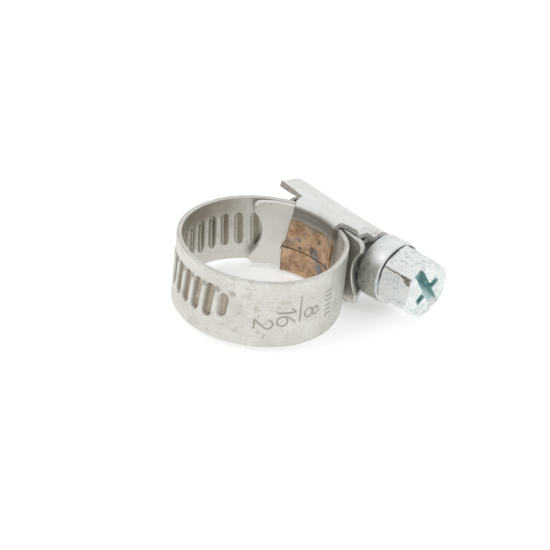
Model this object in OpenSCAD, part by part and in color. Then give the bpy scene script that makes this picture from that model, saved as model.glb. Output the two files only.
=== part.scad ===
// Worm drive hose clamp, lying on its side.
// Origin: middle of the hose bore. +Z: hose axis. +Y: towards the screw housing. +X: towards the screw head.
// The ring of band is one strip in the real clamp. Here it is cut across into short links,
// hinged one to the next, so that it can close as the screw turns.

/* [Band] */
// Width of the band along the hose axis
band_w = 7.5; // [5:0.5:12]
// Thickness of the band sheet
band_t = 0.55; // [0.4:0.05:0.9]
// Radius of the hose that the open clamp goes round
hose_r = 8; // [7.5:0.1:8.5]
// Inner radius of the fixed end of the band, inside the housing
fixed_r = 8.53; // [8.52:0.01:8.6]
// Inner radius of the free end of the band, where it slides through the housing
free_r = 9.2; // [9.15:0.01:9.3]
// Length of the straight tail past the housing
tail_len = 4.5; // [3:0.25:4.5]
// Gap between one link and the next
link_gap = 0.06; // [0.04:0.01:0.1]
// Depth of the round notch in each end of the band
notch_depth = 1.1; // [0.5:0.1:1.5]
// Radius of the round notch in each end of the band
notch_r = 3.55; // [3:0.05:5]
// Chamfer on the corners of each end of the band
corner_cut = 0.45; // [0.2:0.05:0.8]

/* [Thread slots] */
// Pitch of the worm thread and of the slots in the band
pitch = 1.7; // [1.5:0.1:2]
// Width of one slot
slot_w = 0.92; // [0.8:0.02:1]
// Length of one slot across the band
slot_len = 3.9; // [3:0.1:5]
// Depth of one slot
slot_depth = 0.42; // [0.38:0.01:0.45]

/* [Housing] */
// Thickness of the housing sheet
sheet = 0.5; // [0.4:0.05:0.6]
// Left end of the strap that wraps round the band
strap_x0 = -3.4; // [-4:0.05:-1]
// Right end of the strap that wraps round the band
strap_x1 = 3.05; // [2:0.05:4]
// Left end of the arched cover
cover_x0 = -7.2; // [-8:0.1:-5]
// Right end of the arched cover
cover_x1 = 5.5; // [5.5:0.05:6]
// Height of the middle of the cover's arch
arch_y = 11.88; // [11.6:0.01:12]
// Outer radius of the cover's arch
arch_r = 3.6; // [3.4:0.05:4]
// Height of the lower edge of the cover's left part at the strap
lip_y0 = 9.4; // [9:0.1:10]
// Height of the lower edge of the cover's left end
lip_y1 = 10.3; // [9.5:0.1:11]
// Height of the lower edge of the cover's right part
eave_y = 8.75; // [8.7:0.05:9.5]

/* [Screw] */
// Height of the screw axis over the middle of the bore
screw_y = 11.5; // [11.48:0.01:11.6]
// Outer radius of the worm thread
thread_r = 2.12; // [2:0.02:2.12]
// Radius of the thread's core
core_r = 1.6; // [1.4:0.05:1.7]
// Left end of the screw
screw_x0 = -6.2; // [-7:0.1:-5]
// Right end of the worm thread
thread_x1 = 4.5; // [4:0.1:5.2]
// Radius of the round collar
collar_r = 3.45; // [3.2:0.05:3.6]
// Left face of the collar
collar_x0 = 6.6; // [6.6:0.05:6.8]
// Right face of the collar
collar_x1 = 9; // [8.5:0.1:10]
// Width of the hexagon across its flats
hex_af = 6; // [5.5:0.5:7]
// Right end of the hexagon
hex_x1 = 13.1; // [12:0.1:15]
// Turn of the hexagon about the screw axis
hex_turn = 23; // [0:1:60]
// Width of the full-width driver slot
driver_slot_w = 1.2; // [0.8:0.1:1.4]
// Depth of the driver slot and of the cross recess
driver_depth = 1.3; // [0.8:0.1:2]
// Width of the cross recess
cross_w = 0.85; // [0.6:0.05:1.2]
// Length of the cross recess
cross_len = 4.3; // [3:0.1:5]
// Turn of the driver slot about the screw axis
slot_turn = 124.4; // [0:0.1:180]

/* [Hidden] */
$fn = 96;
eps = 0.01;
big = 40;

// Ring of band. Angles are about the bore, degrees from +X towards +Y.
a_fixed = 60;
a_round0 = 12;
a_round1 = -99.2;
a_free = 130;
a_tongue = 116;
a_straight = 76;
// The right stretch leaves the fixed end and settles on the hose in two bends.
right_k = cos(a_fixed - a_round0);
right_g = fixed_r - hose_r;
right_d = right_g * (2 + sqrt(2 + 2 * right_k)) / (2 - 2 * right_k);
right_mid = (a_fixed + a_round0) / 2;
// The left stretch swells from the hose out to the free end in two bends.
left_d = 1.645;
left_g = free_r - hose_r;
left_k = cos(a_free - a_round1 - 180);
left_e = (2 * left_g * left_d - left_g * left_g) / (2 * left_d * left_k + 2 * left_d - 2 * left_g);
left_c1 = left_d * dir(a_round1 + 180);
left_c2 = left_e * dir(a_free);
left_mid = 180 + atan2(left_c1[1] - left_c2[1], left_c1[0] - left_c2[0]);
// Each stretch meets the next one at a hinge, to within this.
join_slack = 0.01;

// Each stretch: centre, inner radius, start angle, end angle. From the free end round to the fixed end.
stretches = [
  [left_c2, free_r - left_e, a_free, left_mid],
  [left_c1, hose_r + left_d, left_mid, a_round1 + 360],
  [[0, 0], hose_r, a_round1 + 360, a_round0 + 360],
  [-right_d * dir(a_round0), hose_r + right_d, a_round0 + 360, right_mid + 360],
  [right_d * dir(a_fixed), fixed_r - right_d, right_mid + 360, a_fixed + 360]
];
// Distance along the middle of the sheet at which each stretch starts
function stretch_len(i) = (stretches[i][1] + band_t / 2) * (stretches[i][3] - stretches[i][2]) * PI / 180;
function start_of(i) = i == 0 ? 0 : start_of(i - 1) + stretch_len(i - 1);
ring_len = start_of(len(stretches));
function angle_at(i, s) = stretches[i][2] + (s - start_of(i)) / (stretches[i][1] + band_t / 2) * 180 / PI;
function dir(a) = [cos(a), sin(a)];

// Slotted links hold three slots each; two plain links share what is left of the round stretch,
// and each bend on the right is one link.
slots_per_link = 3;
slotted_links = 5;
links = 9;
slotted_len = slotted_links * slots_per_link * pitch;
plain_hinges = [(slotted_len + start_of(3)) / 2, start_of(3), start_of(4), ring_len];
// Hinge k, counted from the free end
function hinge_s(k) = k <= slotted_links ? k * slots_per_link * pitch : plain_hinges[k - slotted_links - 1];

// Free end
free_mid_r = free_r + band_t / 2;
slot_step = pitch / free_mid_r * 180 / PI;
tail_slots = 5;
tail_first = a_free - slot_step / 2;
// Distance of the straight tail's first slot from the end of the bend
tail_rest = pitch - (tail_first - (tail_slots - 1) * slot_step - a_straight) * free_mid_r * PI / 180;
helix = atan(pitch / (2 * PI * (thread_r - 0.1)));

// Fixed end
tongue_bend_r = 5;
tongue_sweep = 39;

// Housing
strap_r = hose_r + sheet;
side_gap = 0.1;
wall_z = band_w / 2 + side_gap + sheet;
wall_y = 9.7;
seam_z = -1;
seam_w = 0.12;
seam_depth = 0.2;
crimp_x = 5.05;
crimp_w = 0.7;
crimp_r = 1.8;

// Screw
neck_r = 1.55;
thread_mesh_x = free_mid_r * cos(tail_first - 3 * slot_step);
thread_crest = 0.42;
thread_root = 0.72;
hex_flare = 0.6;
cross_cone_r = 1.1;

// Local frame along X: drawing plane (y, z), height along x
module along_x(x0) {
  translate([x0, 0, 0]) rotate([90, 0, 90]) children();
}

module arc(r, sweep) {
  rotate_extrude(angle = sweep)
    translate([r, -band_w / 2]) square([band_t, band_w]);
}

module sector(c, r, a0, a1) {
  translate([c[0], c[1], 0]) rotate([0, 0, a0]) arc(r, a1 - a0);
}

// One slot: sunk from the outside, leaning with the thread
module slot(c, r, a) {
  translate([c[0], c[1], 0])
    rotate([0, 0, a])
      translate([r + band_t - slot_depth, 0, 0])
        rotate([-helix, 0, 0])
          slot_body();
}

module slot_body() {
  half = (slot_len - slot_w) / 2;
  translate([0, -slot_w / 2, -half]) cube([1, slot_w, 2 * half]);
  for (z = [-half, half])
    translate([0, 0, z]) rotate([0, 90, 0]) cylinder(d = slot_w, h = 1, $fn = 24);
}

// Cut for one end of the band: round notch and chamfered corners. Local +Y points out of the end.
module end_cut(r) {
  translate([r - 1, notch_r - notch_depth, 0])
    rotate([0, 90, 0]) cylinder(r = notch_r, h = 3);
  for (z = [-1, 1])
    translate([r - 1, 0, z * band_w / 2])
      rotate([z * 45, 0, 0])
        translate([0, -corner_cut / sqrt(2), -2]) cube([3, 2, 4]);
}

// Stretch of ring from s0 to s1, with a thread slot at every pitch up to the last slotted link
module ring_piece(s0, s1) {
  a = s0 + link_gap / 2;
  b = s1 - link_gap / 2;
  difference() {
    union()
      for (i = [0 : len(stretches) - 1])
        let (lo = max(a, start_of(i)), hi = min(b, start_of(i + 1)))
          if (lo < hi - join_slack)
            sector(stretches[i][0], stretches[i][1], angle_at(i, lo), angle_at(i, hi));
    for (n = [0 : slotted_links * slots_per_link - 1])
      let (s = (n + 0.5) * pitch)
        if (s > s0 && s < s1)
          for (i = [0 : len(stretches) - 1])
            if (s >= start_of(i) && s < start_of(i + 1))
              slot(stretches[i][0], stretches[i][1], angle_at(i, s));
  }
}

module link(number) {
  color([0.84, 0.83, 0.80])
    ring_piece(hinge_s(links - number), hinge_s(links - number + 1));
}

// Link numbers count from the fixed end.
module link_1() { link(1); }
module link_2() { link(2); }
module link_3() { link(3); }
module link_4() { link(4); }
module link_5() { link(5); }
module link_6() { link(6); }
module link_7() { link(7); }
module link_8() { link(8); }
module link_9() { link(9); }

// Fixed end: strip under the screw, and the tongue inside the ring
module band_fixed() {
  gap_a = link_gap / 2 / fixed_r * 180 / PI;
  color([0.82, 0.81, 0.77])
    rotate([0, 0, a_tongue])
      difference() {
        union() {
          arc(fixed_r, a_fixed + gap_a - a_tongue);
          translate([fixed_r - tongue_bend_r, 0, 0]) arc(tongue_bend_r, tongue_sweep);
        }
        translate([fixed_r - tongue_bend_r, 0, 0])
          rotate([0, 0, tongue_sweep]) end_cut(tongue_bend_r);
      }
}

// Free end: slides over the fixed end and under the screw, and sticks out of the housing
module band_tail() {
  gap_a = link_gap / 2 / free_mid_r * 180 / PI;
  color([0.84, 0.83, 0.80])
    difference() {
      union() {
        sector([0, 0], free_r, a_straight, a_free - gap_a);
        rotate([0, 0, a_straight])
          translate([free_r, -tail_len, -band_w / 2]) cube([band_t, tail_len, band_w]);
      }
      for (n = [0 : tail_slots - 1])
        slot([0, 0], free_r, tail_first - n * slot_step);
      rotate([0, 0, a_straight])
        for (n = [0 : 1])
          translate([free_r + band_t - slot_depth, -tail_rest - n * pitch, 0])
            rotate([-helix, 0, 0]) slot_body();
      rotate([0, 0, a_straight])
        translate([0, -tail_len, 0]) mirror([0, 1, 0]) end_cut(free_r);
    }
}

// Section of the cover, solid inside: arch, sloping walls, straight skirt down past the strap
module cover_section(r, half) {
  translate([arch_y, 0]) circle(r);
  polygon([[arch_y, r], [wall_y, half], [6, half], [6, -half], [wall_y, -half], [arch_y, -r]]);
}

module crimp() {
  for (z = [-1, 1])
    translate([crimp_x, screw_y, z * crimp_r])
      mirror([0, 0, z < 0 ? 1 : 0])
        cylinder(r1 = 0.2, r2 = crimp_w / 2, h = arch_r - crimp_r - sheet / 2, $fn = 24);
}

module housing() {
  color([0.86, 0.85, 0.83]) {
    difference() {
      along_x(cover_x0) linear_extrude(height = cover_x1 - cover_x0) cover_section(arch_r, wall_z);
      // room for the hose
      translate([0, 0, -big / 2]) cylinder(r = hose_r, h = big);
      // room for the screw and for both layers of band
      difference() {
        along_x(cover_x0 - 1)
          linear_extrude(height = cover_x1 - cover_x0 + 2) cover_section(arch_r - sheet, wall_z - sheet);
        translate([0, 0, -big / 2]) cylinder(r = strap_r, h = big);
      }
      // lower edge of the cover on the left of the strap
      translate([0, 0, -big / 2])
        linear_extrude(height = big)
          polygon([[strap_x0, 0], [strap_x0, lip_y0], [cover_x0 - eps, lip_y1], [cover_x0 - 5, 0]]);
      // lower edge of the cover on the right of the strap
      translate([strap_x1, 0, -big / 2]) cube([big, eave_y, big]);
      // seam where the two wings of the strap meet
      translate([strap_x0 - eps, 0, seam_z - seam_w / 2])
        cube([strap_x1 - strap_x0 + 2 * eps, hose_r + seam_depth, seam_w]);
    }
    crimp();
  }
}

// Cross section of the worm: the thread's profile along the pitch, wrapped round the axis
module worm_section() {
  crest = thread_crest / pitch * 360;
  root = thread_root / pitch * 360;
  flat = [for (i = [0 : 6]) let (a = -crest / 2 + crest * i / 6) thread_r * dir(a)];
  core = [for (i = [0 : 14]) let (a = root / 2 + (360 - root) * i / 14) (core_r - 0.05) * dir(a)];
  polygon(concat(flat, core));
}

module worm() {
  turns = (thread_x1 - screw_x0) / pitch;
  start = 180 - 360 * (thread_mesh_x - screw_x0) / pitch;
  along_x(screw_x0)
    translate([screw_y, 0, 0])
      rotate([0, 0, start])
        linear_extrude(height = thread_x1 - screw_x0, twist = -360 * turns, slices = ceil(turns * 20), $fn = 20)
          worm_section();
}

module hexagon() {
  intersection() {
    rotate([0, 0, hex_turn])
      linear_extrude(height = hex_x1 - collar_x1) circle(r = hex_af / sqrt(3), $fn = 6);
    cylinder(r1 = hex_af / sqrt(3) + hex_x1 - collar_x1, r2 = hex_af / sqrt(3) - hex_flare,
             h = hex_x1 - collar_x1);
  }
}

module screw() {
  color([0.80, 0.84, 0.86]) {
    worm();
    along_x(screw_x0) translate([screw_y, 0, 0]) cylinder(r = core_r, h = thread_x1 - screw_x0);
    along_x(thread_x1 - eps) translate([screw_y, 0, 0]) cylinder(r = neck_r, h = collar_x0 - thread_x1 + 2 * eps);
    along_x(collar_x0) translate([screw_y, 0, 0]) cylinder(r = collar_r, h = collar_x1 - collar_x0);
    difference() {
      along_x(collar_x1 - eps) translate([screw_y, 0, 0]) hexagon();
      along_x(hex_x1 - driver_depth)
        translate([screw_y, 0, 0]) {
          rotate([0, 0, slot_turn])
            translate([-big / 2, -driver_slot_w / 2, 0]) cube([big, driver_slot_w, big]);
          rotate([0, 0, slot_turn + 90])
            translate([-cross_len / 2, -cross_w / 2, 0]) cube([cross_len, cross_w, big]);
          cylinder(r1 = 0.5, r2 = cross_cone_r, h = driver_depth + eps, $fn = 48);
        }
    }
  }
}

housing();
band_fixed();
link_1();
link_2();
link_3();
link_4();
link_5();
link_6();
link_7();
link_8();
link_9();
band_tail();
screw();
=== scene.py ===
"""Looks of a worm drive hose clamp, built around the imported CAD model. Lengths here are millimetres."""

import math

import bmesh
import bpy
import numpy as np
from mathutils import Matrix, Vector


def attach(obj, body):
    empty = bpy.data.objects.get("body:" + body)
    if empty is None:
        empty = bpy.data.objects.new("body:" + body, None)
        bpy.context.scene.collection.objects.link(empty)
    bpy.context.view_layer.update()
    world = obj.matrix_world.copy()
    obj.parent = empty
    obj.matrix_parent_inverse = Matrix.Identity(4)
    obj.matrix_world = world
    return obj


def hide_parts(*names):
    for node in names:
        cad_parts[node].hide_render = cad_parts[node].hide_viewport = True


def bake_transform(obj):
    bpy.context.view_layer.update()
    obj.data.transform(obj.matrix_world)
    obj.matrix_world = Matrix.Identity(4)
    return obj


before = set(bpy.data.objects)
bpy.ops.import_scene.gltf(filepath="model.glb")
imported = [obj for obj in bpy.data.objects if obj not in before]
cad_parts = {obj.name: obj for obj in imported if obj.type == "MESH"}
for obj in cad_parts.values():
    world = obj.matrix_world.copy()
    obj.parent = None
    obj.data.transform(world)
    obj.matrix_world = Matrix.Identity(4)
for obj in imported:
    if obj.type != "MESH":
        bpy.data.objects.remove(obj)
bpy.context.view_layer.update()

MM = 0.001

# ---------------------------------------------------------------- sizes, as in part.scad
BAND_W, BAND_T = 7.5, 0.55
HOSE_R, FIXED_R, FREE_R = 8.0, 8.53, 9.2
TAIL_LEN = 4.5
NOTCH_DEPTH, NOTCH_R, CORNER = 1.1, 3.55, 0.45
PITCH, SLOT_W, SLOT_LEN = 1.7, 0.92, 3.9
SHEET = 0.5
STRAP_X0, STRAP_X1 = -3.4, 3.05
COVER_X0, COVER_X1 = -7.2, 5.5
ARCH_Y, ARCH_R, WALL_Z, WALL_Y = 11.88, 3.6, 4.35, 9.7
LIP_Y0, LIP_Y1, EAVE_Y = 9.4, 10.3, 8.75
SCREW_Y, THREAD_R, CORE_R, NECK_R = 11.5, 2.12, 1.6, 1.55
SCREW_X0, THREAD_X1 = -6.2, 4.5
COLLAR_R, COLLAR_X0, COLLAR_X1 = 3.45, 6.6, 9.0
HEX_AF, HEX_X1, HEX_TURN = 6.0, 13.1, 23.0
SLOT_TURN, DRIVE_W, DRIVE_DEPTH, CROSS_W, CROSS_LEN = 124.4, 1.2, 1.3, 0.85, 4.3


def unit(deg):
    """Unit vector at that angle, from +X towards +Y."""
    return np.array([math.cos(math.radians(deg)), math.sin(math.radians(deg))])


def smooth(x, a=0.0, b=1.0):
    """0 below a, 1 above b, smooth in between."""
    t = np.clip((np.asarray(x, float) - a) / (b - a), 0, 1)
    return t * t * (3 - 2 * t)


def ease(x, a=0.0, b=1.0):
    """smooth() of one number."""
    return float(smooth(x, a, b))


# ---------------------------------------------------------------- the band's path
A_FIXED, A_ROUND0, A_ROUND1, A_FREE, A_TONGUE, A_STRAIGHT = 60, 12, -99.2, 130, 116, 76
TONGUE_R, TONGUE_SWEEP = 5.0, 39
FREE_SHIFT = 1.645  # from the hose's axis to the centre of the arc that leaves the round part


def stretches():
    """(centre, inner radius, start angle, end angle) of each arc, from the free end's to the tongue's."""
    gap = FIXED_R - HOSE_R
    k = math.cos(math.radians(A_FIXED - A_ROUND0))
    right = gap * (2 + math.sqrt(2 + 2 * k)) / (2 - 2 * k)
    mid = (A_FIXED + A_ROUND0) / 2 + 360
    gap, d = FREE_R - HOSE_R, FREE_SHIFT
    k = math.cos(math.radians(A_FREE - A_ROUND1 - 180))
    e = (2 * gap * d - gap * gap) / (2 * d * k + 2 * d - 2 * gap)
    leaving, arriving = d * unit(A_ROUND1 + 180), e * unit(A_FREE)
    turn = 180 + math.degrees(math.atan2(*(leaving - arriving)[::-1]))
    axis = np.zeros(2)
    return [
        (axis, FREE_R, A_STRAIGHT, A_FREE),
        (arriving, FREE_R - e, A_FREE, turn),
        (leaving, HOSE_R + d, turn, A_ROUND1 + 360),
        (axis, HOSE_R, A_ROUND1 + 360, A_ROUND0 + 360),
        (-right * unit(A_ROUND0), HOSE_R + right, A_ROUND0 + 360, mid),
        (right * unit(A_FIXED), FIXED_R - right, mid, A_FIXED + 360),
        (axis, FIXED_R, A_FIXED + 360, A_TONGUE + 360),
        ((FIXED_R - TONGUE_R) * unit(A_TONGUE), TONGUE_R, A_TONGUE + 360, A_TONGUE + TONGUE_SWEEP + 360),
    ]


STRETCHES = stretches()
LENGTHS = [(r + BAND_T / 2) * math.radians(b - a) for _, r, a, b in STRETCHES]
# distance along the sheet's middle at each stretch's start; 0 is the hinge of the free end
STARTS = np.concatenate([[0], np.cumsum(LENGTHS)]) - LENGTHS[0]
TAIL_START = STARTS[0] - TAIL_LEN
RING_LEN = STARTS[6]
TONGUE_END = STARTS[8]
PAST_END = 5  # the last arc is carried on this much further


def path(s):
    """Points on the inner face and outward normals, at distances s along the band."""
    p, n = np.zeros(s.shape + (2,)), np.zeros(s.shape + (2,))
    before = s < STARTS[0]
    along = unit(A_STRAIGHT - 90)
    p[before] = unit(A_STRAIGHT) * FREE_R + (STARTS[0] - s[before])[:, None] * along
    n[before] = unit(A_STRAIGHT)
    for i, (centre, r, a, _) in enumerate(STRETCHES):
        if i < len(STRETCHES) - 1:
            here = (s >= STARTS[i]) & (s < STARTS[i + 1])
        else:
            here = (s >= STARTS[i]) & (s <= STARTS[i + 1] + PAST_END)
        turn = np.radians(a) + (s[here] - STARTS[i]) / (r + BAND_T / 2)
        outward = np.stack([np.cos(turn), np.sin(turn)], -1)
        p[here], n[here] = centre + r * outward, outward
    return p, n


# ---------------------------------------------------------------- relief of the band
RING_PITCH, DRIFT, FIRST, FULL = 1.64, 0.4, -7, 14
SLOT_LEAN, SLOT_RISE = 0.10, 0.32


def slot_middle(n):
    """Slot n's middle. Slots under the screw follow its pitch, those round the ring are a little closer."""
    return (n + 0.5) * PITCH + (DRIFT - (PITCH - RING_PITCH) * n) * ease(n, -1.5, 1.5)


# middle along the band, length and strength of each pressed slot; the last two fade out
SLOTS = [(slot_middle(n), SLOT_LEN, 1.0) for n in range(FIRST, FULL)]
SLOTS += [(slot_middle(FULL), 2.7, 0.75), (slot_middle(FULL + 1), 1.1, 0.3)]
PRESS_OUT, PRESS_IN = 0.38, 0.30
STEEP_OUT, STEEP_IN = 0.45, 0.76
SLOT_HALF = SLOT_W / 2 + 0.18
DIMPLE_Z, DIMPLE_DEPTH = 1.6, 0.06


def slot_rise(c):
    """The slots sit a little above the band's middle on the later part of the ring."""
    return SLOT_RISE * ease(c, 8, 12)


def slot_profile(s, z, steep):
    """Depth of the pressed slots, 0 to 1, with a long slope and a steep side; and how steep it is there."""
    depth, wall = np.zeros_like(s), np.zeros_like(s)
    for c, length, strength in SLOTS:
        zc = z - slot_rise(c)
        near = (np.abs(s - c) < PITCH) & (np.abs(zc) < length / 2 + 0.1)
        if not near.any():
            continue
        zc = zc[near]
        over = np.clip((np.abs(zc) - length / 2 + SLOT_HALF) / SLOT_HALF, 0, 1)
        half = np.maximum(SLOT_HALF * np.sqrt(1 - over**2), 1e-4)
        a = (s[near] - c - SLOT_LEAN * zc + half) / (2 * half)
        d = np.clip(a / steep, 0, 1) ** 1.2 * (1 - smooth(a, 0.78, 1.0)) * smooth(half, 0.0, 0.35)
        depth[near] = np.maximum(depth[near], d * strength)
        wall[near] = np.maximum(wall[near], 4 * d * (1 - d) * strength**2)
    return depth, wall


def dimple(s, z):
    """Round marks at the upper end of each land between slots."""
    depth = np.zeros_like(s)
    for c, _, strength in SLOTS:
        middle = c + RING_PITCH / 2 + SLOT_LEAN * DIMPLE_Z
        r = np.hypot(s - middle, z - slot_rise(c) - DIMPLE_Z)
        depth = np.maximum(depth, strength * (1 - smooth(r, 0.2, 0.46)))
    return depth


def digit_strokes(ch):
    """Polylines of a plain digit in a box 0.62 wide and 1 high."""
    def ring(cx, cy, rx, ry, a0=0, a1=360, n=28):
        t = np.radians(np.linspace(a0, a1, n))
        return np.stack([cx + rx * np.cos(t), cy + ry * np.sin(t)], -1)

    top_of_two = ring(0.31, 0.72, 0.27, 0.28, 170, -30)
    return {
        "8": [ring(0.31, 0.75, 0.25, 0.24), ring(0.31, 0.27, 0.30, 0.27)],
        "1": [np.array([[0.12, 0.76], [0.34, 1.0], [0.34, 0.0]])],
        "6": [ring(0.31, 0.29, 0.29, 0.29), np.array([[0.03, 0.33], [0.12, 0.68], [0.42, 1.0]])],
        "2": [np.concatenate([top_of_two, [[0.03, 0.0]]]), np.array([[0.03, 0.0], [0.6, 0.0]])],
        "-": [np.array([[-1.45, 0.0], [1.45, 0.0]])],
        "/": [np.array([[0.0, 0.0], [0.0, 1.0]])],
    }[ch]


# mark, distance of its foot along the band, height on the band of its left edge, size
MARKS = [
    ("1", 29.85, 0.95, 1.9),
    ("6", 29.85, -0.1, 1.9),
    ("-", 32.25, 0.55, 1.0),
    ("8", 32.75, 0.45, 1.75),
    ("2", 27.6, -0.45, 1.85),
]
MARKS += [("/", 35.55, 1.5 - 0.55 * i, 0.9) for i in range(6)]
MARKED_FROM = 25  # no mark lies on pieces of the band that end before this
STAMP_DEPTH, STAMP_W = 0.07, 0.08


def stamp(s, z):
    """0 on the plain sheet, 1 in the middle of a stamped stroke. Figures read downwards, tops towards +s."""
    depth = np.zeros_like(s)
    for ch, foot, left, size in MARKS:
        near = (s > foot - 1) & (s < foot + size + 1)
        if not near.any():
            continue
        q = np.stack([left - z[near], s[near] - foot], -1) / size
        best = np.full(q.shape[0], 9.0)
        for line in digit_strokes(ch):
            for a, b in zip(line[:-1], line[1:]):
                ab = b - a
                t = np.clip(((q - a) @ ab) / (ab @ ab), 0, 1)
                best = np.minimum(best, np.hypot(*(q - a - t[:, None] * ab).T))
        depth[near] = np.maximum(depth[near], 1 - smooth(best * size, STAMP_W * 0.45, STAMP_W * 1.25))
    return depth


def wobble(s, z, seed):
    """Small smooth unevenness of rolled sheet, about -1 to 1."""
    r = np.random.default_rng(seed)
    waves = 5
    out = np.zeros_like(s)
    for _ in range(waves):
        k = r.uniform(0.5, 2.2, 2) * r.choice([-1, 1], 2)
        out += np.sin(k[0] * s + k[1] * z + r.uniform(0, 6.28))
    return out / waves


def end_shape(z, length):
    """How far a band's end reaches at height z: round notch in the middle, cut corners."""
    z = np.abs(z)
    notch = NOTCH_DEPTH - NOTCH_R + np.sqrt(np.maximum(NOTCH_R**2 - z**2, 0))
    reach = length - np.maximum(notch, 0) * (z < NOTCH_R)
    return np.minimum(reach, length - np.maximum(z - (BAND_W / 2 - CORNER), 0))


# ---------------------------------------------------------------- mesh helpers
def mesh_object(name, verts, faces, material, attributes=None):
    """An object of that mesh, smooth shaded, with one value of each attribute per vertex."""
    me = bpy.data.meshes.new(name)
    me.from_pydata((np.asarray(verts) * MM).tolist(), [], faces)
    for key, values in (attributes or {}).items():
        layer = me.attributes.new(key, "FLOAT", "POINT")
        layer.data.foreach_set("value", np.asarray(values, np.float32).ravel())
    me.validate()
    bm = bmesh.new()
    bm.from_mesh(me)
    bmesh.ops.recalc_face_normals(bm, faces=bm.faces)
    bm.to_mesh(me)
    bm.free()
    me.shade_smooth()
    o = bpy.data.objects.new(name, me)
    bpy.context.scene.collection.objects.link(o)
    me.materials.append(material)
    return o


def sharpen(o, degrees):
    """Edges that turn by more than that stay sharp."""
    o.data.set_sharp_from_angle(angle=math.radians(degrees))


def bevel(o, width, degrees):
    """Rounds the edges that turn by more than that."""
    m = o.modifiers.new("edge", "BEVEL")
    m.width, m.segments, m.limit_method, m.angle_limit = width * MM, 2, "ANGLE", math.radians(degrees)
    return m


# ---------------------------------------------------------------- the band's meshes
EDGE = 0.13  # radius of the sheet's rounded edges
ACROSS, ROUND = 66, 7  # points over each face of the sheet, and round each of its edges
ROW_STEP = 0.05
END_INSET = 0.06
UNEVEN = 0.012


def band_section():
    """Points round the sheet's section: height on the band, distance from the inner face, and two masks, of
    the points on its outer face and on its inner one."""
    flat = np.linspace(-BAND_W / 2 + EDGE, BAND_W / 2 - EDGE, ACROSS)
    turn = np.radians(np.linspace(0, 180, ROUND + 2))[1:-1]
    edge_z = BAND_W / 2 - EDGE + EDGE * np.sin(turn)
    edge_h = np.where(np.cos(turn) > 0, BAND_T - EDGE, EDGE) + EDGE * np.cos(turn)
    z = np.concatenate([flat, edge_z, flat[::-1], -edge_z])
    h = np.concatenate([np.full(ACROSS, BAND_T), edge_h, np.zeros(ACROSS), edge_h[::-1]])
    face, no_face, edge = np.ones(ACROSS), np.zeros(ACROSS), np.zeros(ROUND)
    outer = np.concatenate([face, edge, no_face, edge])
    inner = np.concatenate([no_face, edge, face, edge])
    return z, h, outer, inner


def band_faces(rows):
    """Quads along the strip, and a row of quads over each of its ends."""
    n = 2 * (ACROSS + ROUND)
    faces = []
    for i in range(rows):
        a, b = i * n, (i + 1) * n
        faces += [(a + j, a + (j + 1) % n, b + (j + 1) % n, b + j) for j in range(n)]
    for base, flip in ((0, True), (rows * n, False)):
        last = base + 2 * ACROSS + ROUND - 1
        cap = [(base + j, base + j + 1, last - 1 - j, last - j) for j in range(ACROSS - 1)]
        cap.append(tuple(range(base + ACROSS - 1, base + ACROSS + ROUND + 1)))
        cap.append(tuple(range(last, base + n)) + (base,))
        faces += [tuple(reversed(f)) for f in cap] if flip else cap
    return faces


def band_piece(name, s0, s1, material, free_end=False, tongue_end=False):
    """A length of band as one closed mesh. free_end and tongue_end shape the strip's real ends."""
    rows = max(8, int(round((s1 - s0) / ROW_STEP)))
    section_z, section_h, outer, inner = band_section()
    first, last = np.full(len(section_z), s0), np.full(len(section_z), s1)
    if free_end:
        first = s1 - end_shape(section_z, s1 - s0)
    if tongue_end:
        last = s0 + end_shape(section_z, s1 - s0)
    s = first + np.linspace(0, 1, rows + 1)[:, None] * (last - first)
    z = np.broadcast_to(section_z, s.shape)
    press, wall = slot_profile(s, z, STEEP_OUT)
    press_in, _ = slot_profile(s, z, STEEP_IN)
    marks = stamp(s, z) if s1 > MARKED_FROM else np.zeros_like(s)
    dots = dimple(s, z)
    h = section_h - outer * (PRESS_OUT * press + STAMP_DEPTH * marks + DIMPLE_DEPTH * dots)
    # the ridges inside stay low where they slide over the tongue
    h -= inner * PRESS_IN * press_in * (0.15 + 0.85 * smooth(s, 3.0, 6.5))
    h += UNEVEN * wobble(s, z, 5)
    # the strip's own ends are rounded over
    mid = BAND_T / 2
    for real_end, row in ((free_end, 0), (tongue_end, -1)):
        if real_end:
            h[row] = mid + (h[row] - mid) * (1 - END_INSET / mid)
    p, outward = path(s)
    verts = np.concatenate([p + outward * h[..., None], z[..., None]], -1).reshape(-1, 3)
    piece = mesh_object(name, verts, band_faces(rows), material, {
        "recess": outer * press,
        "walls": outer * wall,
        "slope": inner * press_in * (1 - smooth(press_in, 0.82, 0.96)),
        "stamped": outer * marks,
        "dots": outer * dots,
        "along": s,
        "across": z,
        "inside": np.broadcast_to(inner, s.shape),
    })
    sharpen(piece, 60)
    return piece


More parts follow.
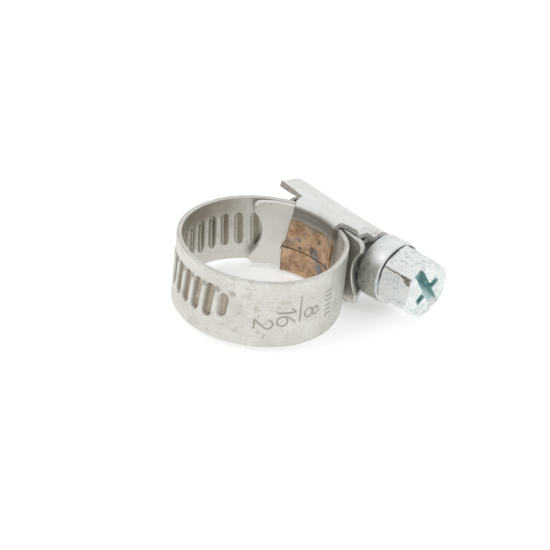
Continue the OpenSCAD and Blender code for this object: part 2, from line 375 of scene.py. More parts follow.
# ---------------------------------------------------------------- materials
class Nodes:
    """Short ways to lay out a material's nodes."""

    def __init__(self, name):
        self.mat = bpy.data.materials.new(name)
        self.mat.use_nodes = True
        self.t = self.mat.node_tree
        self.bsdf = self.t.nodes["Principled BSDF"]
        self.coord = self.t.nodes.new("ShaderNodeTexCoord").outputs["Object"]

    def link(self, a, b):
        self.t.links.new(a, b)

    def put(self, socket, value):
        """Sets a socket to a number or a colour, or links it."""
        if isinstance(value, (int, float)):
            socket.default_value = value
        elif isinstance(value, tuple):
            socket.default_value = value if len(value) == len(socket.default_value) else value + (1.0,)
        else:
            self.link(value, socket)

    def math(self, op, a, b=0.0):
        n = self.t.nodes.new("ShaderNodeMath")
        n.operation = op
        self.put(n.inputs[0], a)
        self.put(n.inputs[1], b)
        return n.outputs[0]

    def times(self, first, *others):
        """Product of all the values."""
        for other in others:
            first = self.math("MULTIPLY", first, other)
        return first

    def absolute(self, value):
        return self.math("ABSOLUTE", value)

    def ramp(self, value, a, b):
        """0 at a, 1 at b, smooth between."""
        n = self.t.nodes.new("ShaderNodeMapRange")
        n.interpolation_type = "SMOOTHSTEP"
        self.put(n.inputs[0], value)
        n.inputs[1].default_value, n.inputs[2].default_value = a, b
        return n.outputs[0]

    def mapped(self, stretch, offset):
        """Object coordinates in millimetres, stretched and moved."""
        n = self.t.nodes.new("ShaderNodeMapping")
        n.inputs["Scale"].default_value = [1000 * k for k in stretch]
        n.inputs["Location"].default_value = offset
        self.link(self.coord, n.inputs["Vector"])
        return n.outputs[0]

    def noise(self, scale, detail=4.0, stretch=(1, 1, 1), rough=0.55, offset=0.0):
        n = self.t.nodes.new("ShaderNodeTexNoise")
        n.inputs["Scale"].default_value = scale
        n.inputs["Detail"].default_value = detail
        n.inputs["Roughness"].default_value = rough
        self.link(self.mapped(stretch, (offset, offset * 0.7, offset * 1.3)), n.inputs["Vector"])
        return n.outputs["Fac"]

    def cells(self, scale):
        n = self.t.nodes.new("ShaderNodeTexVoronoi")
        n.inputs["Scale"].default_value = scale
        self.link(self.mapped((1, 1, 1), (0, 0, 0)), n.inputs["Vector"])
        return n.outputs["Distance"]

    def attribute(self, name):
        n = self.t.nodes.new("ShaderNodeAttribute")
        n.attribute_name = name
        return n.outputs["Fac"]

    def mix(self, share, a, b):
        n = self.t.nodes.new("ShaderNodeMix")
        n.data_type = "RGBA"
        self.put(n.inputs["Factor"], share)
        self.put(n.inputs["A"], a)
        self.put(n.inputs["B"], b)
        return n.outputs["Result"]

    def tint(self, colour, mask, amount, tone):
        """Lays a tone over the colour, at most that amount, where the mask is 1."""
        return self.mix(self.times(mask, amount), colour, tone)

    def metal(self, colour, metallic, roughness):
        self.put(self.bsdf.inputs["Base Color"], colour)
        self.bsdf.inputs["Metallic"].default_value = metallic
        self.put(self.bsdf.inputs["Roughness"], roughness)

    def bump(self, height, strength, distance):
        n = self.t.nodes.new("ShaderNodeBump")
        n.inputs["Strength"].default_value = strength
        n.inputs["Distance"].default_value = distance * MM
        self.link(height, n.inputs["Height"])
        self.link(n.outputs[0], self.bsdf.inputs["Normal"])

    def position(self):
        """Object coordinates in millimetres, one value each."""
        n = self.t.nodes.new("ShaderNodeSeparateXYZ")
        self.link(self.coord, n.inputs[0])
        return [self.times(o, 1000.0) for o in n.outputs]


def scratches(m, length, height):
    """Fine noise drawn out along the band."""
    place = m.t.nodes.new("ShaderNodeCombineXYZ")
    m.link(m.times(length, 0.35), place.inputs[0])
    m.link(m.times(height, 14.0), place.inputs[1])
    n = m.t.nodes.new("ShaderNodeTexNoise")
    n.inputs["Scale"].default_value = 1.0
    n.inputs["Detail"].default_value = 3.0
    m.link(place.outputs[0], n.inputs["Vector"])
    return n.outputs["Fac"]


def band_material():
    m = Nodes("band_steel")
    length, height, inside = m.attribute("along"), m.attribute("across"), m.attribute("inside")
    steel, warm, slot_shade = (0.70, 0.69, 0.65), (0.61, 0.595, 0.54), (0.34, 0.285, 0.21)
    colour = m.mix(m.ramp(m.noise(0.35, 3), 0.35, 0.7), steel, warm)
    fine = m.noise(7, 5)
    colour = m.tint(colour, m.ramp(fine, 0.52, 0.8), 0.4, (0.42, 0.40, 0.35))
    scratch = scratches(m, length, height)
    colour = m.tint(colour, m.ramp(scratch, 0.5, 0.75), 0.3, (0.78, 0.78, 0.74))
    colour = m.tint(colour, m.ramp(scratch, 0.46, 0.3), 0.3, (0.40, 0.38, 0.33))
    smudge = m.ramp(m.noise(0.8, 5, rough=0.7, offset=31.0), 0.53, 0.68)
    colour = m.tint(colour, smudge, 0.46, (0.38, 0.345, 0.28))
    grain = m.ramp(m.noise(4.5, 6, rough=0.75, offset=37.0), 0.5, 0.66)
    colour = m.tint(colour, grain, 0.34, (0.42, 0.40, 0.35))
    # painted light: the tongue and the lower part of the inside are made brighter
    colour = m.tint(colour, m.ramp(length, 47.0, 48.5), 0.6, (0.82, 0.80, 0.76))
    lower = m.times(inside, m.ramp(height, 2.0, -2.6))
    colour = m.tint(colour, lower, 0.45, (0.84, 0.82, 0.78))
    # brown along the upper edge of the inside, on the round part
    upper = m.times(inside, m.ramp(height, 1.3, 2.5), m.ramp(length, 43.0, 41.0), m.ramp(length, 1.0, 6.0))
    colour = m.tint(colour, upper, 0.55, (0.27, 0.235, 0.18))
    pits = m.math("SUBTRACT", 1.0, m.ramp(m.cells(1.3), 0.03, 0.14))
    pits = m.times(pits, m.ramp(m.noise(0.8, 2, offset=3.1), 0.5, 0.58))
    colour = m.tint(colour, pits, 0.75, (0.20, 0.18, 0.14))
    uneven = m.ramp(m.noise(2.2, 4, offset=1.7), 0.1, 0.5)
    # painted shade: the slot floors are darkened to a warm brown-grey
    colour = m.tint(colour, m.times(m.ramp(m.attribute("recess"), 0.2, 0.8), uneven), 0.9, slot_shade)
    # painted shade along each slot's walls, and painted shade and dark reflection on the slopes of the
    # ridges inside
    colour = m.tint(colour, m.attribute("walls"), 0.7, (0.15, 0.125, 0.09))
    slope_shade = m.mix(uneven, (0.16, 0.14, 0.10), (0.26, 0.23, 0.175))
    colour = m.tint(colour, m.ramp(m.attribute("slope"), 0.05, 0.3), 0.85, slope_shade)
    colour = m.tint(colour, m.attribute("stamped"), 0.75, (0.20, 0.17, 0.13))
    # painted shade in the round dimples
    colour = m.tint(colour, m.attribute("dots"), 0.65, (0.26, 0.24, 0.20))
    m.metal(colour, 0.85, m.math("ADD", 0.32, m.times(m.noise(1.6, 4, offset=9.0), 0.22)))
    relief = m.math("ADD", m.times(fine, 0.5), m.times(scratch, 0.35))
    m.bump(m.math("SUBTRACT", relief, m.times(pits, 0.8)), 0.3, 0.02)
    return m.mat


def heat_tint(m, patch):
    """Colours left by spot welding on the wings, brown with violet where the welds are."""
    brown_part = m.ramp(m.noise(0.7, 6, rough=0.7, offset=7.0), 0.36, 0.62)
    brown = m.mix(brown_part, (0.36, 0.20, 0.105), (0.68, 0.47, 0.29))
    violet_part = m.ramp(m.noise(0.8, 4, offset=4.0), 0.45, 0.58)
    violet = m.mix(violet_part, (0.17, 0.13, 0.10), (0.21, 0.23, 0.29))
    spots = m.ramp(m.math("ADD", patch, m.times(m.attribute("weld"), 0.3)), 0.50, 0.70)
    tone = m.tint(brown, spots, 0.95, violet)
    grain = m.ramp(m.noise(3.0, 6, rough=0.7, offset=8.0), 0.5, 0.68)
    return m.tint(tone, grain, 0.35, (0.62, 0.53, 0.42))


def housing_material():
    m = Nodes("housing_steel")
    cloud = m.ramp(m.noise(0.4, 3, offset=5.0), 0.35, 0.7)
    colour = m.mix(cloud, (0.82, 0.815, 0.80), (0.76, 0.755, 0.73))
    fine = m.noise(6, 5, stretch=(0.35, 1, 1))
    colour = m.tint(colour, m.ramp(fine, 0.48, 0.75), 0.4, (0.52, 0.51, 0.47))
    specks = m.ramp(m.noise(3.5, 6, rough=0.75, offset=15.0), 0.6, 0.72)
    colour = m.tint(colour, specks, 0.4, (0.36, 0.34, 0.29))
    patch = m.noise(0.42, 6, rough=0.7, offset=2.6)
    ragged = m.times(m.math("SUBTRACT", m.noise(0.9, 4, offset=6.0), 0.5), 0.6)
    scorched = m.ramp(m.math("ADD", m.attribute("scorch"), ragged), 0.3, 0.62)
    colour = m.tint(colour, scorched, 0.95, heat_tint(m, patch))
    colour = m.tint(colour, m.attribute("shade"), 0.85, (0.20, 0.18, 0.14))
    colour = m.tint(colour, m.attribute("rim"), 0.8, (0.20, 0.17, 0.125))
    rough = m.math("ADD", 0.33, m.times(m.noise(1.4, 4, offset=12.0), 0.2))
    m.metal(colour, 0.85, m.math("ADD", rough, m.times(scorched, 0.12)))
    m.bump(m.math("ADD", m.times(fine, 0.4), m.times(patch, 0.5)), 0.25, 0.02)
    return m.mat


FACING_CORNER = HEX_TURN + 120
DISC_R = 5.0  # cutter of the driver slot


def screw_material():
    m = Nodes("screw_zinc")
    x, y, z = m.position()
    y = m.math("SUBTRACT", y, SCREW_Y)

    def towards(turn):
        """Distance from the screw's axis in that direction."""
        a = math.radians(turn)
        return m.math("ADD", m.times(y, math.cos(a)), m.times(z, math.sin(a)))

    cloud = m.ramp(m.noise(0.6, 4, offset=1.0), 0.35, 0.7)
    colour = m.mix(cloud, (0.84, 0.87, 0.86), (0.74, 0.76, 0.73))
    frost_noise = m.noise(5.5, 5, offset=2.0)
    colour = m.tint(colour, m.ramp(frost_noise, 0.5, 0.72), 0.35, (0.88, 0.91, 0.91))
    bare = m.ramp(m.noise(1.4, 5, offset=21.0), 0.42, 0.62)
    end_face = m.times(m.ramp(x, HEX_X1 - 0.06, HEX_X1 - 0.02), bare)
    colour = m.tint(colour, end_face, 0.6, (0.55, 0.66, 0.66))
    # painted shade in the gap between collar and hexagon, at the upper flat
    gap = m.times(m.ramp(x, COLLAR_X1 - 0.03, COLLAR_X1), m.ramp(x, COLLAR_X1 + 0.13, COLLAR_X1 + 0.09))
    colour = m.tint(colour, m.times(gap, m.ramp(towards(105), 0.2, 1.8)), 0.9, (0.10, 0.09, 0.07))
    # painted shade on the collar's lower side, mottled dark grey
    collar_shade_mottle = m.ramp(m.noise(3.5, 5, rough=0.7, offset=11.0), 0.4, 0.65)
    side = m.times(m.ramp(towards(215), 0.2, 1.9), m.ramp(x, COLLAR_X1 + 0.05, COLLAR_X1 - 0.3))
    colour = m.tint(colour, side, 0.85, m.mix(collar_shade_mottle, (0.26, 0.26, 0.20), (0.50, 0.50, 0.44)))
    # blue-grey specks, thickest on the flat beside the facing corner
    beside, corner = towards(FACING_CORNER + 90), towards(FACING_CORNER)
    flat = m.times(m.ramp(beside, -0.3, -0.9), m.ramp(corner, 1.0, 1.6))
    flat = m.times(flat, m.ramp(x, COLLAR_X1, COLLAR_X1 + 0.3))
    # painted light: the flat beside the facing corner is made paler
    colour = m.tint(colour, flat, 0.5, (0.95, 0.96, 0.96))
    on_flat = m.times(flat, m.ramp(m.noise(0.55, 2, offset=18.0), 0.36, 0.5))
    patches = m.math("MAXIMUM", m.ramp(m.noise(0.45, 2, offset=8.0), 0.5, 0.66), on_flat)
    specks = m.times(m.ramp(m.noise(4.0, 6, rough=0.7, offset=4.0), 0.53, 0.62), patches)
    colour = m.tint(colour, specks, 0.8, (0.30, 0.42, 0.50))
    # the thread is darker than the head
    colour = m.tint(colour, m.ramp(x, COLLAR_X0, COLLAR_X0 - 0.8), 0.6, (0.38, 0.36, 0.31))
    burr = corner_burr(m, x, beside, corner)
    mottled = m.ramp(m.noise(5.0, 4, offset=24.0), 0.4, 0.6)
    colour = m.tint(colour, burr, 0.9, m.mix(mottled, (0.07, 0.065, 0.05), (0.30, 0.28, 0.22)))
    along, across = towards(SLOT_TURN), towards(SLOT_TURN + 90)
    colour = m.tint(colour, driver_mask(m, x, along, across), 0.85, driver_tone(m, x, along))
    m.metal(colour, 0.7, m.math("ADD", 0.36, m.times(m.noise(2.0, 4, offset=6.0), 0.2)))
    relief = m.math("ADD", m.times(frost_noise, 0.5), m.noise(1.1, 4, offset=5.0))
    m.bump(m.math("SUBTRACT", relief, m.times(burr, 0.7)), 0.4, 0.05)
    return m.mat


def corner_burr(m, x, beside, corner):
    """Rough dark burr along the hexagon's facing corner, widening at its end."""
    ragged = m.times(m.math("SUBTRACT", m.noise(3.0, 5, offset=14.0), 0.5), 0.35)
    wide = m.math("ADD", 0.07, m.times(m.ramp(x, HEX_X1 - 1.7, HEX_X1 - 0.55), 0.30))
    off = m.math("SUBTRACT", m.math("ADD", beside, ragged), m.math("SUBTRACT", wide, 0.05))
    line = m.ramp(m.math("SUBTRACT", m.absolute(off), wide), 0.08, -0.04)
    ends = m.times(m.ramp(x, COLLAR_X1 + 0.1, COLLAR_X1 + 0.5), m.ramp(x, HEX_X1 - 0.12, HEX_X1 - 0.4))
    return m.times(line, m.ramp(corner, 2.7, 2.95), ends)


def driver_mask(m, x, along, across):
    """1 inside the slot and the cross recess of the head."""
    def within(value, half):
        return m.ramp(m.absolute(value), half + 0.06, half + 0.02)

    slot = m.times(within(across, DRIVE_W / 2), m.ramp(m.absolute(along), 2.7, 2.3))
    cross = m.times(within(along, CROSS_W / 2), within(across, CROSS_LEN / 2))
    sunk = m.times(m.ramp(x, HEX_X1 - 0.05, HEX_X1 - 0.2), m.ramp(x, HEX_X1 - 2.2, HEX_X1 - 1.9))
    return m.times(m.math("MAXIMUM", slot, cross), sunk)


def driver_tone(m, x, along):
    """Blue-green of the recess, paler on the slot's round floor towards its ends."""
    tone = m.mix(m.ramp(m.noise(1.6, 4, offset=3.0), 0.35, 0.65), (0.10, 0.28, 0.30), (0.26, 0.52, 0.52))
    inward = m.math("SUBTRACT", x, HEX_X1 - DRIVE_DEPTH + DISC_R)
    squares = m.math("ADD", m.math("POWER", inward, 2.0), m.math("POWER", along, 2.0))
    from_disc = m.math("POWER", squares, 0.5)
    on_floor = m.ramp(from_disc, DISC_R - 0.12, DISC_R - 0.02)
    return m.tint(tone, m.times(on_floor, m.ramp(m.absolute(along), 0.3, 1.6)), 0.8, (0.62, 0.80, 0.80))


def floor_material():
    m = Nodes("floor_pale")
    m.put(m.bsdf.inputs["Base Color"], m.mix(m.noise(0.01, 2), (0.93, 0.93, 0.93), (0.95, 0.95, 0.95)))
    m.bsdf.inputs["Roughness"].default_value = 0.9
    m.bsdf.inputs["Emission Color"].default_value = (1, 1, 1, 1)
    m.bsdf.inputs["Emission Strength"].default_value = 0.3
    return m.mat


BAND, HOUSING, SCREW = band_material(), housing_material(), screw_material()

# ---------------------------------------------------------------- the band, in pieces, one round each hinge
HINGE_STEP = 5.1
HINGES = [HINGE_STEP * i for i in range(6)]
HINGES += [(HINGES[-1] + STARTS[4]) / 2, STARTS[4], STARTS[5], RING_LEN]
BODIES = ["tail"] + [f"link_{i}" for i in range(9, 0, -1)] + ["housing"]
NODES = ["band_tail"] + BODIES[1:10] + ["band_fixed"]
BEND_REACH, NO_LIMIT = 2.4, 9.0


def spot(s):
    """Point in the middle of the sheet at distance s, in metres."""
    p, outward = path(np.array([float(s)]))
    x, y = p[0] + outward[0] * BAND_T / 2
    return (x * MM, y * MM, 0.0)


middles = [(a + b) / 2 for a, b in zip(HINGES[:-1], HINGES[1:])]
cuts = [TAIL_START] + middles + [TONGUE_END]
for i, hinge in enumerate(HINGES):
    last = i == len(HINGES) - 1
    piece = band_piece(f"band_{i + 1}", cuts[i], cuts[i + 1], BAND, free_end=i == 0, tongue_end=last)
    before = hinge - cuts[i] if i > 0 else NO_LIMIT
    after = cuts[i + 1] - hinge if not last else NO_LIMIT
    reach = min(BEND_REACH, before, after)
    spot(hinge - reach)
    spot(hinge + reach)
    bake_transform(piece)
    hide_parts(*([NODES[i], NODES[i + 1]] if last else [NODES[i]]))


# ---------------------------------------------------------------- housing: one folded sheet
ARCH_NARROWING, ARCH_FALL = 0.42, 0.26  # towards the head
LIP_WIDENING, LIP_THICKER, LIP_ROUNDING = 0.25, 0.15, 0.5  # at the other end
STRAP_BEND, FILLET = 0.55, 0.7
WING_Z = WALL_Z - SHEET / 2 - STRAP_BEND
SEAM_Z, SEAM_GAP = -1.0, 0.05
CRIMP_X, CRIMP_DEPTH = 4.75, 0.30
PINCH_DEPTH, PINCH_LEN = 0.40, 0.5
WELD_RISE, RIPPLE, WING_FALL = 0.05, 0.03, 0.02
# x, z and radius of each weld spot
WELDS = [(-1.6, -0.7, 0.35), (-1.7, 0.35, 0.28), (0.3, -0.3, 0.9)]
WELDS += [(1.6, -1.9, 0.8), (0.9, 1.2, 0.6), (2.5, -1.0, 0.4)]


def strap_left(q):
    """Left edge of the strap: sheared a little askew, more so on the upper side (q > 0)."""
    a = abs(q)
    at_bend, at_seam = (-2.75, -3.45) if q > 0 else (-3.5, -3.65)
    if a <= 2:
        return STRAP_X0
    if a <= 4:
        return STRAP_X0 + (at_bend - STRAP_X0) * ease((a - 2) / 2)
    torn = 0.10 * math.exp(-(((a - 4.93) / 0.05) ** 2)) - 0.06 * math.exp(-(((a - 4.8) / 0.04) ** 2))
    return at_bend + (at_seam - at_bend) * (a - 4) - torn


def lower_edge(x):
    """y of the cover's lower edge: a slanted lip, then the strap's width, then a level eave."""
    if x < STRAP_X0:
        return LIP_Y0 + (LIP_Y1 - LIP_Y0) * (x - STRAP_X0) / (COVER_X0 - STRAP_X0)
    if x < STRAP_X1:
        return LIP_Y0 + (EAVE_Y - LIP_Y0) * (x - STRAP_X0) / (STRAP_X1 - STRAP_X0)
    return EAVE_Y


def housing_section(x, q):
    """y and z of the sheet's middle at x. q runs 0..1 over the arch, 1..2 down the wall to the lower edge,
    2..3 down the strap's wall, 3..4 round its bend and 4..5 along its wing to the seam."""
    taper = min(max((x - COVER_X0) / (COVER_X1 - COVER_X0), 0.0), 1.0)
    widen = LIP_WIDENING * min(max(x / COVER_X0, 0.0), 1.0)
    r = ARCH_R - SHEET / 2 - ARCH_NARROWING * taper
    top = ARCH_Y - ARCH_FALL * taper
    base = math.sqrt((HOSE_R + SHEET / 2) ** 2 - min(max(x, STRAP_X0 - 0.4), STRAP_X1) ** 2)
    foot = base + STRAP_BEND
    drop = lower_edge(x)

    def wall(y):
        wall_z = WALL_Z - SHEET / 2
        return y, r + widen + (wall_z - r - widen) * ease((top - y) / (top - WALL_Y))

    if q <= 1:
        a = q * math.pi / 2
        return top + (r + 0.2 * widen) * math.cos(a), (r + widen) * math.sin(a)
    if q <= 2:
        return wall(top + (drop - top) * (q - 1))
    if q <= 3:
        return wall(drop + (foot - drop) * (q - 2))
    if q <= 4:
        a = (q - 3) * math.pi / 2
        return foot - STRAP_BEND * math.sin(a), WING_Z + STRAP_BEND * math.cos(a)
    return base, 0.0


def housing_spot(part, t, q):
    """Middle of the sheet. t is x on the part left of the strap, and 0..1 across the strap and right of it.
    q is as in housing_section, below zero on the lower side."""
    a = abs(q)
    flare = 0.0
    if a <= 2:
        flare = FILLET
    elif a <= 3:
        down = min(1.0, (a - 2) * 1.6)
        flare = FILLET * (1 - math.sqrt(max(0.0, 1 - (1 - down) ** 2)))
    strap_right = STRAP_X1 + flare
    if part == "left":
        x = t + LIP_ROUNDING * ease(1 - a) * ((STRAP_X0 - t) / (STRAP_X0 - COVER_X0)) ** 3
    elif part == "strap":
        x = strap_left(q) + t * (strap_right - strap_left(q))
    else:
        x = strap_right + t * (COVER_X1 - strap_right)
    y, z = housing_section(x, a)
    side = 1 if q > 0 else -1
    if a > 4:
        z = WING_Z + (side * SEAM_Z + SEAM_GAP - WING_Z) * (a - 4)
    return np.array([x, y, side * z])


def housing_normal(part, t, q):
    """Normal of the sheet, from small steps; the wings face the hose."""
    x, y, z = housing_spot(part, t, q)
    if abs(q) >= 4:
        return -np.array([x, y, 0.0]) / math.hypot(x, y)
    step = 1e-3
    after = min(t + step, 1.0)
    across = housing_spot(part, after, q) - housing_spot(part, after - 2 * step, q)
    down = housing_spot(part, t, q + step) - housing_spot(part, t, q - step)
    normal = np.cross(across, down)
    normal /= np.linalg.norm(normal)
    outward = np.array([0.0, y - ARCH_Y, z])
    return normal if normal @ outward >= 0 else -normal


def housing_grid():
    """Columns (part, t) and rows q of the sheet's mesh."""
    columns = [("left", x) for x in np.linspace(COVER_X0, STRAP_X0, 34)[:-1]]
    columns += [("strap", t) for t in np.linspace(0, 1, 36)]
    columns += [("right", t) for t in np.linspace(0, 1, 24)[1:]]
    stops = [(0, 1, 22), (1, 2, 16), (2, 3, 9), (3, 4, 9), (4, 5, 24)]
    half = np.concatenate([[0.0]] + [np.linspace(a, b, n)[1:] for a, b, n in stops])
    return columns, list(-half[:0:-1]) + list(half)


def shell_faces(index, columns, rows, n):
    """Both faces of the sheet and the strip round its rim, and the vertices on the rim."""
    faces, rim = [], {}
    for c in range(len(columns) - 1):
        for r in range(len(rows) - 1):
            quad = [index.get(k) for k in ((c, r), (c + 1, r), (c + 1, r + 1), (c, r + 1))]
            if None in quad:
                continue
            faces.append(tuple(quad))
            for a, b in zip(quad, quad[1:] + quad[:1]):
                if (b, a) in rim:
                    del rim[(b, a)]
                else:
                    rim[(a, b)] = True
    inside = [tuple(n + i for i in reversed(f)) for f in faces]
    strip = [(b, a, n + a, n + b) for a, b in rim]
    return faces + inside + strip, [i for edge in rim for i in edge]


def housing():
    """The housing's sheet as one closed mesh, with its crimp and weld spots."""
    columns, rows = housing_grid()
    index, verts, normals, q = {}, [], [], []
    for c, (part, t) in enumerate(columns):
        for r, at in enumerate(rows):
            if abs(at) > 2 and part != "strap":
                continue
            index[(c, r)] = len(verts)
            verts.append(housing_spot(part, t, at))
            normals.append(housing_normal(part, t, at))
            q.append(at)
    verts, normals, q = np.array(verts), np.array(normals), np.array(q)
    x, z = verts[:, 0], verts[:, 2].copy()
    on_cover, on_wing = np.abs(q) <= 2, np.abs(q) > 4
    # crimp that holds the screw's neck: a dent on each side, and the end of the cover pinched in
    side = np.degrees(np.arctan2(np.abs(z), verts[:, 1] - ARCH_Y))
    lean = (x - CRIMP_X) - (105 - side) * 0.02
    dent = np.exp(-((lean / 0.42) ** 2)) * (1 - smooth(np.abs(side - 97), 5, 17)) * (np.abs(q) < 2)
    pinch = smooth(x, COVER_X1 - PINCH_LEN, COVER_X1) * smooth(side, 85, 105) * on_cover
    crease = np.exp(-(((x - COVER_X1 + 0.4) / 0.1) ** 2))
    crease *= smooth(side, 76, 92) * (1 - smooth(side, 110, 122))
    verts -= normals * (CRIMP_DEPTH * dent + PINCH_DEPTH * pinch)[:, None]
    x, z = verts[:, 0], verts[:, 2]
    weld = np.zeros(len(verts))
    for weld_x, weld_z, radius in WELDS:
        d = np.hypot(x - weld_x, z - weld_z)
        weld = np.maximum(weld, (1 - smooth(d, 0.1, radius)) * on_wing)
    lift = RIPPLE * wobble(x * 1.6, z * 1.7, 3) + WELD_RISE * weld - WING_FALL
    out = verts + normals * (SHEET / 2 + lift * on_wing)[:, None]
    inn = verts - normals * (SHEET / 2 + LIP_THICKER * smooth(-x, 3.6, 6.0))[:, None]
    faces, on_rim = shell_faces(index, columns, rows, len(verts))
    rim = np.zeros(len(verts))
    rim[on_rim] = 1
    rim *= 1 - 0.7 * smooth(x, -3.2, -1.5)
    shade = smooth(q, 3.25, 3.75) * (1 - smooth(q, 4.12, 4.36)) + 0.6 * crease * on_cover
    scorch = np.maximum(smooth(q, 4.1, 4.34), smooth(-q, 3.5, 3.9))
    scorch *= smooth(4.4 - np.abs(z + 0.6), 0.0, 1.6)
    return mesh_object("housing_sheet", np.concatenate([out, inn]), faces, HOUSING, {
        "scorch": np.concatenate([scorch, scorch * 0.3]),
        "weld": np.tile(weld, 2),
        "rim": np.tile(rim, 2),
        "shade": np.tile(shade, 2),
    })


shell = housing()
bevel(shell, 0.09, 55)
sharpen(shell, 40)
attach(shell, "housing")
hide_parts("housing")


# ---------------------------------------------------------------- screw
def tube_faces(rings, steps):
    """Quads between rings of that many vertices, with the first and last ring closed."""
    faces = []
    for i in range(rings - 1):
        a, b = i * steps, (i + 1) * steps
        faces += [(a + j, a + (j + 1) % steps, b + (j + 1) % steps, b + j) for j in range(steps)]
    end = (rings - 1) * steps
    return faces + [tuple(range(steps))[::-1], tuple(range(end, end + steps))]


def around(x, radii):
    """Ring of points about the screw's axis at x, one for each radius."""
    turns = [2 * math.pi * j / len(radii) for j in range(len(radii))]
    return [(x, SCREW_Y + r * math.cos(a), r * math.sin(a)) for a, r in zip(turns, radii)]


def lathe(name, profile, steps=128):
    """Closed turned solid about the screw's axis from (x, radius) points."""
    verts = [p for x, r in profile for p in around(x, [r] * steps)]
    return mesh_object(name, verts, tube_faces(len(profile), steps), SCREW)


def prism(name, turn, outline, half_w):
    """Cutter across the screw's axis: outline of (x, distance from the axis) at that turn, 2 half_w wide."""
    u, v = unit(turn), unit(turn + 90)
    n = len(outline)
    verts = []
    for side in (-half_w, half_w):
        for x, d in outline:
            p = u * d + v * side
            verts.append((x, SCREW_Y + p[0], p[1]))
    faces = [tuple(range(n))[::-1], tuple(range(n, 2 * n))]
    faces += [(i, (i + 1) % n, n + (i + 1) % n, n + i) for i in range(n)]
    return mesh_object(name, verts, faces, SCREW)


def cut(target, tool, how):
    """Applies a boolean to the target and removes the tool."""
    m = target.modifiers.new("cut", "BOOLEAN")
    m.operation, m.object, m.solver = how, tool, "EXACT"
    dg = bpy.context.evaluated_depsgraph_get()
    me = bpy.data.meshes.new_from_object(target.evaluated_get(dg))
    target.modifiers.clear()
    target.data = me
    bpy.data.objects.remove(tool)


# the thread's crests fit the slots under the screw: there is one at this x on the side towards the band
CREST_X = (FREE_R + BAND_T / 2) * math.cos(math.radians(A_FREE) - 3.5 * PITCH / (FREE_R + BAND_T / 2))
TIP_X = SCREW_X0 - 0.45


def thread_radius(x, turn):
    """Radius of the screw at x and that share of a turn."""
    fade = ease(x, SCREW_X0 - 0.5, SCREW_X0 - 0.2) * (1 - ease(x, THREAD_X1 - 0.3, THREAD_X1 + 0.4))
    phase = (turn - (x - CREST_X) / PITCH) % 1.0 - 0.5
    return CORE_R + (THREAD_R - CORE_R) * (1 - ease(abs(phase), 0.13, 0.23)) * fade


def worm():
    """Thread, core and neck as one closed mesh: rings along x whose radius follows the thread."""
    steps = 72
    xs = list(np.arange(TIP_X, THREAD_X1, 0.075)) + list(np.linspace(THREAD_X1, THREAD_X1 + 0.5, 6))
    rings = [around(x, [thread_radius(x, j / steps) for j in range(steps)]) for x in xs]
    rings += [around(x, [NECK_R] * steps) for x in (THREAD_X1 + 0.7, COLLAR_X0 + 0.2)]
    verts = [p for ring in rings for p in ring]
    piece = mesh_object("screw_thread", verts, tube_faces(len(rings), steps), SCREW)
    sharpen(piece, 50)
    return piece


def hexagon():
    """Hexagon with chamfered ends, a slot left by a disc cutter and a cross recess with sloping floors."""
    x0 = COLLAR_X1 + 0.10
    bottom = HEX_X1 - DRIVE_DEPTH
    corners = [HEX_AF / math.sqrt(3) * unit(HEX_TURN + 60 * j) for j in range(6)]
    verts = [(x, SCREW_Y + p[0], p[1]) for x in (x0, HEX_X1) for p in corners]
    piece = mesh_object("screw_head", verts, tube_faces(2, 6), SCREW)
    ends = [(x0 - 1, 2.4), (x0 - 0.01, 3.12), (x0 + 0.35, 3.6), (HEX_X1 - 0.62, 3.55)]
    ends += [(HEX_X1 - 0.3, 3.33), (HEX_X1 - 0.1, 3.05), (HEX_X1 + 0.01, 2.8)]
    cut(piece, lathe("tool", ends), "INTERSECT")
    turns = [2 * math.pi * k / 120 for k in range(120)]
    disc = [(bottom + DISC_R * (1 + math.cos(t)), DISC_R * math.sin(t)) for t in turns]
    cut(piece, prism("tool", SLOT_TURN, disc, DRIVE_W / 2), "DIFFERENCE")
    reach = CROSS_LEN / 2 + 0.15
    slope = [(bottom, 0.0), (HEX_X1 + 0.3, reach), (HEX_X1 + 0.3, -reach)]
    cut(piece, prism("tool", SLOT_TURN + 90, slope, CROSS_W / 2), "DIFFERENCE")
    centre = [(bottom - 0.25, 0.25), (bottom + 0.1, 0.55), (HEX_X1 + 0.2, 0.9)]
    cut(piece, lathe("tool", centre, 48), "DIFFERENCE")
    for face in piece.data.polygons:
        face.use_smooth = True
    rounding = bevel(piece, 0.06, 30)
    rounding.harden_normals = True
    sharpen(piece, 38)
    return piece


def collar():
    """Round collar, its edges rounded over, with a spigot into the hexagon."""
    x0, x1, r = COLLAR_X0 - 0.15, COLLAR_X1, COLLAR_R
    left = [(x0, r - 0.22), (x0 + 0.04, r - 0.08), (x0 + 0.14, r)]
    right = [(x1 - 0.25, r), (x1 - 0.08, r - 0.06), (x1, r - 0.22)]
    piece = lathe("screw_collar", left + right + [(x1, 2.95), (x1 + 0.3, 2.95)])
    sharpen(piece, 40)
    return piece


thread = worm()
for piece in (thread, hexagon(), collar()):
    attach(piece, "screw")
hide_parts("screw")

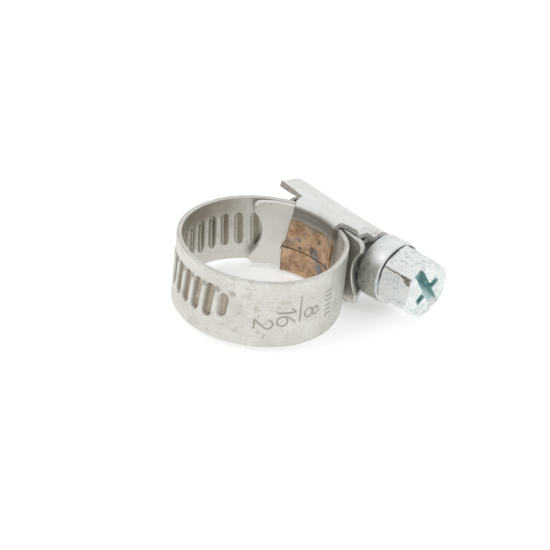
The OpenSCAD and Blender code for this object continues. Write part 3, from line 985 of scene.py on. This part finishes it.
# ---------------------------------------------------------------- floor, light, camera
FLOOR_GAP = 0.02
bpy.ops.mesh.primitive_plane_add(size=4.0, location=(0, 0, -(WALL_Z + FLOOR_GAP) * MM))
floor = bpy.context.object
floor.name = "floor"
floor.data.materials.append(floor_material())

world = bpy.data.worlds.new("studio")
bpy.context.scene.world = world
bpy.context.scene.view_settings.view_transform = "Standard"
world.use_nodes = True
world.node_tree.nodes["Background"].inputs["Color"].default_value = (1, 1, 1, 1)
world.node_tree.nodes["Background"].inputs["Strength"].default_value = 0.86
AIM = (0, 3, 0)


def area_light(name, place, size, power):
    """Round soft light aimed at the clamp."""
    data = bpy.data.lights.new(name, "AREA")
    data.shape, data.size, data.energy = "DISK", size * MM, power
    o = bpy.data.objects.new(name, data)
    o.location = Vector(place) * MM
    o.rotation_euler = (Vector(AIM) - Vector(place)).to_track_quat("-Z", "Y").to_euler()
    bpy.context.scene.collection.objects.link(o)


area_light("key", (-60, -120, 170), 120, 0.045)
area_light("back", (-60, 190, 130), 200, 0.02)

AZIMUTH, ELEVATION, ROLL = 40.0, 30.3, 6.75
DISTANCE = 250.0
LENS, SENSOR = 158.5, 36.0
RING_CENTRE = (-0.4, 0.5)  # middle of the ring as the camera sees it
SHIFT_RIGHT, SHIFT_UP = 1.56, -0.60  # how far the camera stands off the line through the ring's middle

az, el, roll = (math.radians(v) for v in (AZIMUTH, ELEVATION, ROLL))
back = Vector((math.sin(az) * math.cos(el), -math.cos(az) * math.cos(el), math.sin(el)))
level = Vector((math.cos(az), math.sin(az), 0))
upright = back.cross(level)
right = level * math.cos(roll) + upright * math.sin(roll)
up = -level * math.sin(roll) + upright * math.cos(roll)
camera_data = bpy.data.cameras.new("camera")
camera_data.lens, camera_data.sensor_width = LENS, SENSOR
camera_data.clip_start, camera_data.clip_end = 0.01, 10
camera = bpy.data.objects.new("camera", camera_data)
place = Vector((*RING_CENTRE, 0)) + back * DISTANCE + right * SHIFT_RIGHT + up * SHIFT_UP
turn = Matrix((right, up, back)).transposed().to_4x4()
camera.matrix_world = Matrix.Translation(place * MM) @ turn
bpy.context.scene.collection.objects.link(camera)
bpy.context.scene.camera = camera
